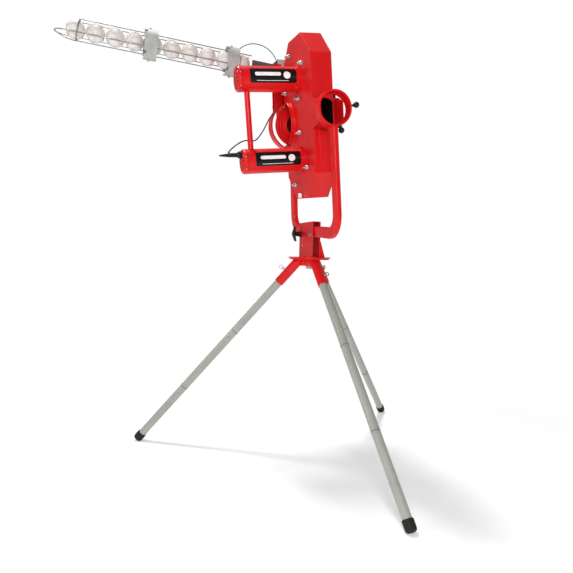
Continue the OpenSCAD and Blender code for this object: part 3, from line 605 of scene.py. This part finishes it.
for sz, nm in ((1, "upper"), (-1, "lower")):
    ang0 = R(6)
    lab = Mesh()
    curved_label(lab, sz, -150, 186, 56, 6, 0.05, 0.7, ang0)
    lab.to(f"{nm}_motor_label", HEAD, LABEL, "head", smooth=35)
    pr = Mesh()
    curved_label(pr, sz, -150, 104, 14, 6.5, 0.8, 0.25, ang0, uc=-22, vc=5)
    curved_label(pr, sz, -150, 28, 28, 13.9, 0.8, 0.3, ang0, uc=54, vc=1)
    curved_label(pr, sz, -150, 128, 1.6, 0.7, 0.8, 0.2, ang0, uc=-4, vc=-20)
    pr.to(f"{nm}_motor_label_print", HEAD, PRINT, "head", smooth=35)
    # end cap: rolled rim, radial cooling slots, centre boss and through-bolts
    cap = Mesh()
    A = T(4, MY0, sz * MZ) @ rot(90, "X")      # +Z of A points out along -Y
    prof = [(MR, -14), (MR, -7), (MR - 0.3, -5), (MR - 1.4, -2.6), (MR - 3.2, -1.1), (MR - 5.5, -0.4)]
    rings = 96
    cap.lathe(prof + [(MR - 9, -0.2)], A, rings)
    # slotted annulus between r 19 and r 39, made as wedges with gaps
    slots = 12
    ro, ri, dep = MR - 9, 18.0, 5.0
    for k in range(slots):
        a0, a1 = 2 * math.pi * (k + 0.26) / slots, 2 * math.pi * (k + 1.0) / slots
        # solid rib from a0 to a1
        n = 8
        vv, ff = [], []
        for z in (-0.2, -dep):
            for rr_ in (ri, ro):
                for i in range(n + 1):
                    a = a0 + (a1 - a0) * i / n
                    vv.append(A @ Vector((rr_ * math.cos(a), rr_ * math.sin(a), z)))
        q = n + 1
        for i in range(n):
            ff.append((i, i + 1, q + i + 1, q + i))
            ff.append((2 * q + i + 1, 2 * q + i, 3 * q + i, 3 * q + i + 1))
            ff.append((i + 1, i, 2 * q + i, 2 * q + i + 1))
            ff.append((q + i, q + i + 1, 3 * q + i + 1, 3 * q + i))
        ff.append((0, q, 3 * q, 2 * q))
        ff.append((n, 2 * q + n, 3 * q + n, q + n))
        cap.add(vv, ff)
    cap.lathe([(MR - 9, -0.2), (MR - 9, -dep - 0.4), (MR - 4, -dep - 0.4), (MR - 4, -14), (MR, -14)], A, rings)
    cap.lathe([(18, -dep - 0.4), (18, 0.0), (17, 0.7), (11, 1.0), (10, 0.2), (0, 0.2)], A, 48)
    cap.to(f"{nm}_motor_end_cap", HEAD, RED, "head", replaces=("motor_caps",) if sz > 0 else ())
    bk = Mesh()
    bk.lathe([(0, -dep - 0.6), (MR - 5, -dep - 0.6), (MR - 5, -dep - 2.4), (0, -dep - 2.4)], A, 48)
    bk.to(f"{nm}_motor_vent_screen", HEAD, BLACK, "head")
    # through-bolts on the end, and cap screws round the rim
    sc = Mesh()
    for k in range(3):
        a = R(30 + 120 * k)
        B = A @ T((MR - 6.2) * math.cos(a), (MR - 6.2) * math.sin(a), -0.9)
        sc.lathe([(3.0, 0), (3.0, 1.2), (2.4, 2.0), (1.4, 2.2), (1.1, 1.2), (0, 1.1)], B, 18)
    for k, ang in enumerate((20, 60, 140, 200, 260, 320)):
        B = T(4, MY0 + 9.0, sz * MZ) @ rot(-ang, "Y") @ T(MR - 0.2, 0, 0) @ rot(90, "Y")
        sc.lathe([(2.6, 0), (2.6, 0.8), (1.9, 1.5), (0.9, 1.7), (0.7, 0.9), (0, 0.9)], B, 16)
    sc.to(f"{nm}_motor_screws", HEAD, ZINC, "head")
    # rolled seams of the can and its flange weld
    sm2 = Mesh()
    for y, rr_ in ((MY0 + 14.6, 0.5), (MY0 + 18.0, 0.45), (-53.0, 0.9)):
        pts = [Vector((4 + (MR + 0.05) * math.cos(2 * math.pi * i / 96), y, sz * MZ + (MR + 0.05) * math.sin(2 * math.pi * i / 96))) for i in range(96)]
        sm2.sweep(pts, rr_, 6, closed=True)
    sm2.sweep([Vector((4 + (MR + 0.1) * math.cos(R(-38)), y, sz * MZ + (MR + 0.1) * math.sin(R(-38)))) for y in np.linspace(MY0 + 15, -52, 20)], 0.8, 6)
    sm2.to(f"{nm}_motor_seams", HEAD, RED, "head")
    # bolts on the root flange
    fb = Mesh()
    for k in range(4):
        a = R(45 + 90 * k)
        B = T(4 + 51 * math.cos(a), -51.5, sz * MZ + 51 * math.sin(a)) @ rot(90, "X")
        fb.lathe([(2.7, 0), (2.7, 2.0), (2.2, 2.6), (0, 2.6)], B, 6)
    fb.to(f"{nm}_flange_screws", HEAD, ZINC, "head", smooth=20)

# ------------------------------------------------------------------ power lead
lead_pts = [(4, -381, 1258), (4, -368, 1258.5), (2, -352, 1262), (-4, -336, 1270), (-20, -300, 1297), (-45, -258, 1315),
            (-75, -208, 1318), (-95, -175, 1345), (-112, -150, 1375), (-128, -125, 1410), (-150, -98, 1436), (-163, -86, 1452)]


def smooth_path(pts, per=8):
    P = [Vector(p) for p in pts]
    P = [P[0] * 2 - P[1]] + P + [P[-1] * 2 - P[-2]]
    out = []
    for i in range(1, len(P) - 2):
        for k in range(per):
            t = k / per
            a, b2, c, d2 = P[i - 1], P[i], P[i + 1], P[i + 2]
            out.append(0.5 * ((2 * b2) + (c - a) * t + (2 * a - 5 * b2 + 4 * c - d2) * t * t + (3 * b2 - a - 3 * c + d2) * t ** 3))
    out.append(P[-2])
    return out


ld = Mesh()
lead = [(x, y, z - 1385) for x, y, z in lead_pts[3:]]
lead = [(4, -330, -128.5 + 3), (2, -334, -121)] + lead
ld.sweep(smooth_path(lead, 8), 2.6, 12)
ld.to("power_cable", HEAD, BLACK, "head")
# ribs of the strain relief and grip rings on the plug
rb = Mesh()
for k in range(7):
    d = 47 + 5.5 * k
    r = 8 - (8 - 3) * (d - 43) / 44
    pts = [Vector((4 + (r + 0.1) * math.cos(2 * math.pi * i / 32), MY0 - 1 - d, -MZ + 27 + (r + 0.1) * math.sin(2 * math.pi * i / 32))) for i in range(32)]
    rb.sweep(pts, 0.9, 6, closed=True)
for k in range(4):
    d = 24 + 4 * k
    pts = [Vector((4 + 8.2 * math.cos(2 * math.pi * i / 32), MY0 - 1 - d, -MZ + 27 + 8.2 * math.sin(2 * math.pi * i / 32))) for i in range(32)]
    rb.sweep(pts, 0.8, 6, closed=True)
rb.to("plug_ribs", HEAD, BLACK, "head")


# ------------------------------------------------------------------ welds
def ring_points(centre, ax, r, n=96, a0=0.0, a1=360.0, wob=0.0):
    ax = Vector(ax).normalized()
    u = ax.orthogonal().normalized()
    w = ax.cross(u)
    rg = random.Random(3)
    c = Vector(centre)
    steps = n if abs(a1 - a0) >= 360 else n + 1
    return [c + (u * math.cos(R(a0 + (a1 - a0) * i / n)) + w * math.sin(R(a0 + (a1 - a0) * i / n))) * (r + rg.uniform(-wob, wob)) for i in range(steps)]


wd = Mesh()
for az in LEGS:
    F = leg_frame(az)
    sub = Mesh()
    pts = ring_points((0, 0, 118.2), (0, 0, 1), 18.4, 72)
    sub.sweep(pts, 1.2, 6, closed=True)
    sub.to(f"socket_rim_{LEGS.index(az)}", F, RED, "tripod")
# weld beads of the yoke arms on their hoops: rippled rows of bead
for nm2, cx, z0, w2 in (("front", 260, 1385 - 64.5, 22), ("rear", -192, 1385 - 104.2, 22)):
    wm = Mesh()
    rg = random.Random(11)
    for sy in (-1, 1):
        pts = [Vector((cx - w2 + 3 + (2 * w2 - 6) * i / 30, sy * 10.2, z0 + rg.uniform(-0.25, 0.25))) for i in range(31)]
        wm.sweep(pts, [1.9 + 0.35 * math.sin(i * 2.1) for i in range(31)], 8)
    wm.to(f"{nm2}_arm_weld", YOKE, RED, "yoke")

# ------------------------------------------------------------------ housing
def panel(mesh, outline, place, thick, inset=0.4):
    """Closed plate with rounded top edges."""
    rg_ = mesh.plate(outline, thick, place, inset)
    n = len(outline)
    mesh.add(rg_[3], [tuple(range(n))])
    mesh.add(rg_[0], [tuple(range(n - 1, -1, -1))])


# black sheets inside the housing, beside the path of the ball: painted shade for the dark interior seen through the
# exit
for nm2, y0, sg in (("far", 39.3, -1), ("near", -39.3, 1)):
    gd = Mesh()
    x0, x1 = (-52, 164) if nm2 == "far" else (40, 164)
    ol = [(x, z) for x, z in rounded(x1 - x0, 126, 10, 6)]
    panel(gd, ol, lambda u, v2, h, y0=y0, sg=sg, c=(x0 + x1) / 2: Vector((c + u, y0 + sg * h, v2)), 1.6, 0.5)
    for z in (-34, -17, 0, 17, 34):
        gd.sweep([Vector((x0 + 12, y0 + sg * 1.6, z)), Vector((x1 - 12, y0 + sg * 1.6, z))], 1.2, 8)
    gd.to(f"{nm2}_painted_shade_sheet", HEAD, SHADE_SHEET_BLACK, "head")
# rings pressed into the rear disc, the rolled lip of its throat, and the collar round the notch
dr = Mesh()
for rr_, w_ in ((52.0, 1.5), (66.0, 1.7), (80.5, 2.2)):
    dr.sweep([Vector((-160.0, rr_ * math.cos(2 * math.pi * i / 120), rr_ * math.sin(2 * math.pi * i / 120))) for i in range(120)], w_, 8, closed=True)
dr.sweep([Vector((-144.2, 44.6 * math.cos(2 * math.pi * i / 96), 44.6 * math.sin(2 * math.pi * i / 96))) for i in range(96)], 1.8, 8, closed=True)
dr.to("intake_disc_rings", HEAD, RED, "head")
for nm2, ysg in (("near", -1),):
    nl = Mesh()
    A0, A1, NN = -66.5, 66.5, 60
    prof_ = [(88.2, 39.6), (88.2, 56.0), (88.8, 58.6), (90.6, 60.0), (92.6, 59.4), (93.4, 57.4), (92.4, 55.6), (90.6, 55.0), (90.4, 46.0), (91.4, 43.4), (94.0, 42.7), (94.0, 42.5), (90.2, 42.5), (90.2, 39.6)]
    vv, ff = [], []
    for i in range(NN + 1):
        a_ = R(A0 + (A1 - A0) * i / NN)
        for r_, y_ in prof_:
            vv.append(Vector((-125 + r_ * math.cos(a_), ysg * y_, r_ * math.sin(a_))))
    m_ = len(prof_)
    for i in range(NN):
        for j in range(m_):
            ff.append((i * m_ + j, i * m_ + (j + 1) % m_, (i + 1) * m_ + (j + 1) % m_, (i + 1) * m_ + j))
    ff += [tuple(range(m_ - 1, -1, -1)), tuple(NN * m_ + j for j in range(m_))]
    nl.add(vv, ff)
    nl.to(f"{nm2}_notch_collar", HEAD, RED, "head", smooth=50)

# folded lip that closes the front opening below the near exit tab
sl = Mesh()
vv, ff = [], []
SN, SX = 40, 12
for j in range(SX + 1):
    x_ = 167.0 + (236.0 - 167.0) * j / SX
    rr_ = 56.2 - 2.0 * j / SX
    for i in range(SN + 1):
        a_ = R(214 + (278 - 214 - 14 * j / SX) * i / SN)
        for dr_ in (-1.0, 1.0):
            vv.append(Vector((x_, (rr_ + dr_) * math.cos(a_), (rr_ + dr_) * math.sin(a_))))
W_ = 2 * (SN + 1)
for j in range(SX):
    for i in range(SN):
        a0_, b0_ = j * W_ + 2 * i, (j + 1) * W_ + 2 * i
        ff.append((a0_, a0_ + 2, b0_ + 2, b0_))
        ff.append((a0_ + 1, b0_ + 1, b0_ + 3, a0_ + 3))
    ff.append((j * W_, (j + 1) * W_, (j + 1) * W_ + 1, j * W_ + 1))
    e_ = j * W_ + 2 * SN
    ff.append((e_, e_ + 1, e_ + W_ + 1, e_ + W_))
for j in (0, SX):
    for i in range(SN):
        q_ = j * W_ + 2 * i
        ff.append((q_, q_ + 1, q_ + 3, q_ + 2) if j == 0 else (q_, q_ + 2, q_ + 3, q_ + 1))
sl.add(vv, ff)
sl.to("exit_lip", HEAD, RED, "head", smooth=40)

# wing nuts on the cover studs, and the square latch low on the near plate
BOLTS = [(-56, 258), (82, 199), (-120, 125), (26, 78), (21, -53), (90, -193), (-63, -255)]
for i, (bx_, bz_) in enumerate(BOLTS):
    wn = Mesh()
    B = T(bx_, -47.4, bz_) @ rot(90, "X") @ rot(0, "Z")      # +Z of B points out along -Y
    wn.lathe([(0, -0.2), (9.0, -0.2), (9.0, 0.8), (7.6, 3.0), (6.0, 8.6), (5.0, 9.6), (3.1, 9.8), (3.1, 15.4), (2.4, 16.2), (0, 16.2)], B, 28)
    for sg in (-1, 1):
        vv, ff = [], []
        secs = ((4.0, 1.6, 7.0, 1.5), (9.0, 2.4, 8.6, 1.5), (14.0, 4.0, 10.8, 1.4), (19.0, 6.0, 12.6, 1.3), (23.0, 8.6, 13.6, 1.1), (25.0, 10.4, 12.8, 0.7))
        for u_, lo_, hi_, th_ in secs:
            for q_ in range(12):
                t_ = 2 * math.pi * q_ / 12
                vv.append(B @ Vector((sg * u_, th_ * math.cos(t_), 0.5 * (lo_ + hi_) + 0.5 * (hi_ - lo_) * math.sin(t_))))
        for j in range(len(secs) - 1):
            for q_ in range(12):
                ff.append((j * 12 + q_, j * 12 + (q_ + 1) % 12, (j + 1) * 12 + (q_ + 1) % 12, (j + 1) * 12 + q_))
        ff += [tuple(range(11, -1, -1)), tuple((len(secs) - 1) * 12 + q_ for q_ in range(12))]
        wn.add(vv, ff)
    wn.to(f"wing_nut_{i}", HEAD, ZINC, "head", smooth=50)
sq = Mesh()
panel(sq, rounded(20, 19, 2.5, 5), lambda u, v2, h: Vector((-2 + u, -47.3 - h, -300 + v2)), 9.0, 1.0)
sq.to("square_latch", HEAD, WHITE, "head")
# seam where the folded front cover meets the side plates, and hem of the access panel
hm = Mesh()
for ysg in (-1, 1):
    for x0_, z0_, x1_, z1_ in ((168.2, -215, 168.2, -60), (168.2, 60, 168.2, 217)):
        hm.sweep([Vector((x0_, ysg * 41.6, z0_ + (z1_ - z0_) * i / 12)) for i in range(13)], 0.7, 6)
hm.sweep([Vector((171.0, y_, z_)) for y_, z_ in ((-20.5, -215.5), (29.5, -215.5), (29.5, -60.5), (-20.5, -60.5))], 0.8, 8, closed=True)
hm.to("front_seams", HEAD, RED, "head")

# ------------------------------------------------------------------ leg details
for i, az in enumerate(LEGS):
    F = leg_frame(az)
    jn = Mesh()
    for d in (404, 738):
        # rolled lip where one tube pushes over the next
        jn.sweep(ring_points((0, 0, d), (0, 0, 1), 16.5, 60), 0.55, 6, closed=True)
        jn.sweep(ring_points((0, 0, d - 6), (0, 0, 1), 16.4, 60), 0.4, 6, closed=True)
    jn.to(f"leg_joint_lips_{i}", F, SILVER, "tripod")
    sm_ = Mesh()
    for d in (404, 738):
        # dark line of the joint itself
        sm_.sweep(ring_points((0, 0, d - 2.2), (0, 0, 1), 16.35, 60), 0.75, 6, closed=True)
    sm_.to(f"leg_joint_seam_{i}", F, RUBBER, "tripod")
    ft = Mesh()
    for k in range(4):
        ft.sweep(ring_points((0, 0, LEG_LEN - 14 + 6 * k), (0, 0, 1), 19.4, 60), 0.6, 6, closed=True)
    ft.sweep(ring_points((0, 0, LEG_LEN - 19.4), (0, 0, 1), 18.3, 60), 0.8, 6, closed=True)
    ft.to(f"foot_ribs_{i}", F, RUBBER, "tripod")


# ------------------------------------------------------------------ tilt knob
kn = Mesh()
K = MM @ T(42 + 104 * math.cos(R(179.5)), -58, 926 + 104 * math.sin(R(179.5))) @ rot(-90, "X")
# swept-back wing: sections along its length, each a rounded box
NS, NC = 44, 24
rows = []
for j in range(NS + 1):
    f = -1 + 2 * j / NS
    u = 32.0 * math.copysign(1 - (1 - abs(f)) ** 1.35, f)
    k = abs(u) / 32.0
    half = 10.5 - 3.0 * k ** 0.9 if k < 0.93 else (10.5 - 3.0 * 0.93 ** 0.9) * math.sqrt(max(0.0, 1 - ((k - 0.93) / 0.07) ** 2)) + 0.02
    z0, z1 = 10.0 * k ** 1.6 + 1.0, 13.4 + 4.6 * k ** 1.8
    if k > 0.93:
        m_ = 0.5 * (z0 + z1)
        q_ = math.sqrt(max(0.0, 1 - ((k - 0.93) / 0.07) ** 2)) * 0.9 + 0.1
        z0, z1 = m_ + (z0 - m_) * q_, m_ + (z1 - m_) * q_
    row = []
    for i in range(NC):
        t_ = 2 * math.pi * i / NC
        cx = math.copysign(abs(math.cos(t_)) ** 0.6, math.cos(t_))
        cz = math.copysign(abs(math.sin(t_)) ** 0.6, math.sin(t_))
        row.append(rot(80, "Z") @ Vector((u, half * cx, 0.5 * (z0 + z1) + 0.5 * (z1 - z0) * cz)))
    rows.append(row)
kv = [p_ for row in rows for p_ in row]
kf = [(j * NC + i, j * NC + (i + 1) % NC, (j + 1) * NC + (i + 1) % NC, (j + 1) * NC + i) for j in range(NS) for i in range(NC)]
kf += [tuple(range(NC - 1, -1, -1)), tuple(NS * NC + i for i in range(NC))]
kn.add(kv, kf)
kn.lathe([(0, 0.2), (6.0, 0.2), (9.0, 1.4), (10.0, 4), (10.0, 15), (9.2, 17), (9.0, 20), (9.4, 25), (11.6, 38), (12, 40.2), (11.4, 40.8), (0, 40.8)], None, 48)
for k in range(10):
    a_ = 2 * math.pi * k / 10
    kn.sweep([Vector((9.0 * math.cos(a_), 9.0 * math.sin(a_), 17)), Vector((9.5 * math.cos(a_), 9.5 * math.sin(a_), 25)), Vector((11.5 * math.cos(a_), 11.5 * math.sin(a_), 37))], 0.8, 6)
kn.lathe([(0, 40.4), (4, 40.4), (4, 79.2), (3.4, 80.0), (0, 80.0)], None, 32)
kn.to("tilt_knob_grip", K, BLACK, "tilt_lock", smooth=50, replaces=("tilt_knob",))

# ------------------------------------------------------------------ hardware on the saddle: a lock washer under the pivot bolt
hw = Mesh()
for y, d in ((-17.2, -1),):
    B = MM @ T(42, y, 926) @ rot(90, "X")
    hw.lathe([(12.5, -0.2), (12.5, 1.0), (11.8, 1.5), (9.6, 1.6), (9.6, -0.2)], T(0, 0, 0), 40)
hw.to("pivot_washer", MM @ T(42, -17.0, 926) @ rot(90, "X"), ZINC, "swivel")

# ------------------------------------------------------------------ speed box face: scale ticks round the two dials, and screws at the box corners
tk = Mesh()
for z in (48, -48):
    for k in range(11):
        a = R(225 - 27 * k)
        ln = 5.0 if k % 5 == 0 else 3.0
        c, s_ = math.cos(a), math.sin(a)
        p0 = Vector((4 - 22.5 * c, 94.75, z + 22.5 * s_))
        p1 = Vector((4 - (22.5 + ln) * c, 94.75, z + (22.5 + ln) * s_))
        tk.sweep([p0, p1], 0.45, 6)
tk.to("dial_scale_marks", HEAD, PRINT, "head")
bx = Mesh()
for x in (-60, 68):
    for z in (-86, 86):
        bx.lathe([(4.2, 0), (4.2, 1.2), (3.4, 2.0), (1.4, 2.2), (1.1, 1.0), (0, 1.0)], T(x, 94.5, z) @ rot(-90, "X"), 20)
bx.to("control_box_screws", HEAD, ZINC, "head")

# ------------------------------------------------------------------ stage, light and camera
FLOOR_GLOW = 0.30
fm, nt, b = mat("studio_floor")
nt.nodes.remove(b)
v = coords(nt)
df = nd(nt, "ShaderNodeBsdfDiffuse")
nt.links.new(ramp(nt, noise(nt, v, 0.7, 2.0), [(0.3, g(0.86)), (0.8, g(0.88))]), df.inputs["Color"])
em = nd(nt, "ShaderNodeEmission", Strength=FLOOR_GLOW)
ad = nt.nodes.new("ShaderNodeAddShader")
nt.links.new(df.outputs[0], ad.inputs[0])
nt.links.new(em.outputs[0], ad.inputs[1])
ge = nt.nodes.new("ShaderNodeNewGeometry")
ds = nd(nt, "ShaderNodeVectorMath", operation="DISTANCE")
nt.links.new(ge.outputs["Position"], ds.inputs[0])
ds.inputs[1].default_value = (0.15 + SH.x, 0.05 + SH.y, 0)
far = nd(nt, "ShaderNodeMapRange", interpolation_type="SMOOTHSTEP")
nt.links.new(ds.outputs["Value"], far.inputs["Value"])
far.inputs["From Min"].default_value = 0.75
far.inputs["From Max"].default_value = 1.75
lp0 = nt.nodes.new("ShaderNodeLightPath")
fc = mathn(nt, "MULTIPLY", far.outputs["Result"], lp0.outputs["Is Camera Ray"])
em2 = nd(nt, "ShaderNodeEmission", Strength=1.0)
mx0 = nt.nodes.new("ShaderNodeMixShader")
nt.links.new(fc, mx0.inputs[0])
nt.links.new(ad.outputs[0], mx0.inputs[1])
nt.links.new(em2.outputs[0], mx0.inputs[2])
out = next(n for n in nt.nodes if n.type == "OUTPUT_MATERIAL")
nt.links.new(mx0.outputs[0], out.inputs[0])
me = bpy.data.meshes.new("floor")
me.from_pydata([(-40, -40, 0), (40, -40, 0), (40, 40, 0), (-40, 40, 0)], [], [(0, 1, 2, 3)])
me.materials.append(fm)
floor = bpy.data.objects.new("floor", me)
bpy.context.scene.collection.objects.link(floor)
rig.stage(floor)

w = bpy.data.worlds.new("studio")
bpy.context.scene.world = w
w.use_nodes = True
bg = w.node_tree.nodes["Background"]
bg.inputs[0].default_value = (1.0, 1.0, 1.0, 1)
bg.inputs[1].default_value = 0.30
# the camera sees a plain white studio behind the machine
wt = w.node_tree
lp = wt.nodes.new("ShaderNodeLightPath")
bg2 = nd(wt, "ShaderNodeBackground", Strength=1.0)
bg2.inputs[0].default_value = (1.0, 1.0, 1.0, 1)
mxs = wt.nodes.new("ShaderNodeMixShader")
wt.links.new(lp.outputs["Is Camera Ray"], mxs.inputs[0])
wt.links.new(bg.outputs[0], mxs.inputs[1])
wt.links.new(bg2.outputs[0], mxs.inputs[2])
wt.links.new(mxs.outputs[0], next(n for n in wt.nodes if n.type == "OUTPUT_WORLD").inputs[0])


def area(name, loc, target, size, power, colour=(1, 1, 1)):
    d = bpy.data.lights.new(name, "AREA")
    d.shape, d.size, d.energy, d.color = "SQUARE", size, power, colour
    o = bpy.data.objects.new(name, d)
    bpy.context.scene.collection.objects.link(o)
    o.location = Vector(loc) + SH
    o.rotation_euler = (Vector(target) - Vector(loc)).to_track_quat("-Z", "Y").to_euler()
    return o


area("key", (-0.9, -0.75, 4.6), (0.2, 0.0, 0.5), 0.5, 108)
area("left_fill", (0.4, -4.2, 2.2), (0, 0, 1.2), 1.6, 30)
area("camera_fill", (3.4, -1.3, 1.7), (0, 0, 1.2), 1.2, 60)

cam_data = bpy.data.cameras.new("camera")
cam_data.sensor_width = 36.0
cam_data.lens = 33.66
cam_data.clip_end = 200
cam = bpy.data.objects.new("camera", cam_data)
bpy.context.scene.collection.objects.link(cam)
az, pitch, roll = R(161.78), R(3.47), R(1.35)
fwd = Vector((math.cos(az) * math.cos(pitch), math.sin(az) * math.cos(pitch), -math.sin(pitch)))
right = fwd.cross(Vector((0, 0, 1))).normalized()
up = right.cross(fwd)
r2 = right * math.cos(roll) + up * math.sin(roll)
u2 = -right * math.sin(roll) + up * math.cos(roll)
cm = Matrix((r2, u2, -fwd)).transposed().to_4x4()
cm.translation = Vector((2.1133, -0.7940, 0.8403)) + SH
cam.matrix_world = cm
bpy.context.scene.camera = cam
bpy.context.scene.view_settings.view_transform = "Standard"
bpy.context.scene.view_settings.look = "None"

vis_lo, vis_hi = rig.bounds()
with open("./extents.json", "w") as f:
    json.dump({"cad": [list(cad_lo), list(cad_hi)], "visual": [list(vis_lo), list(vis_hi)]}, f)
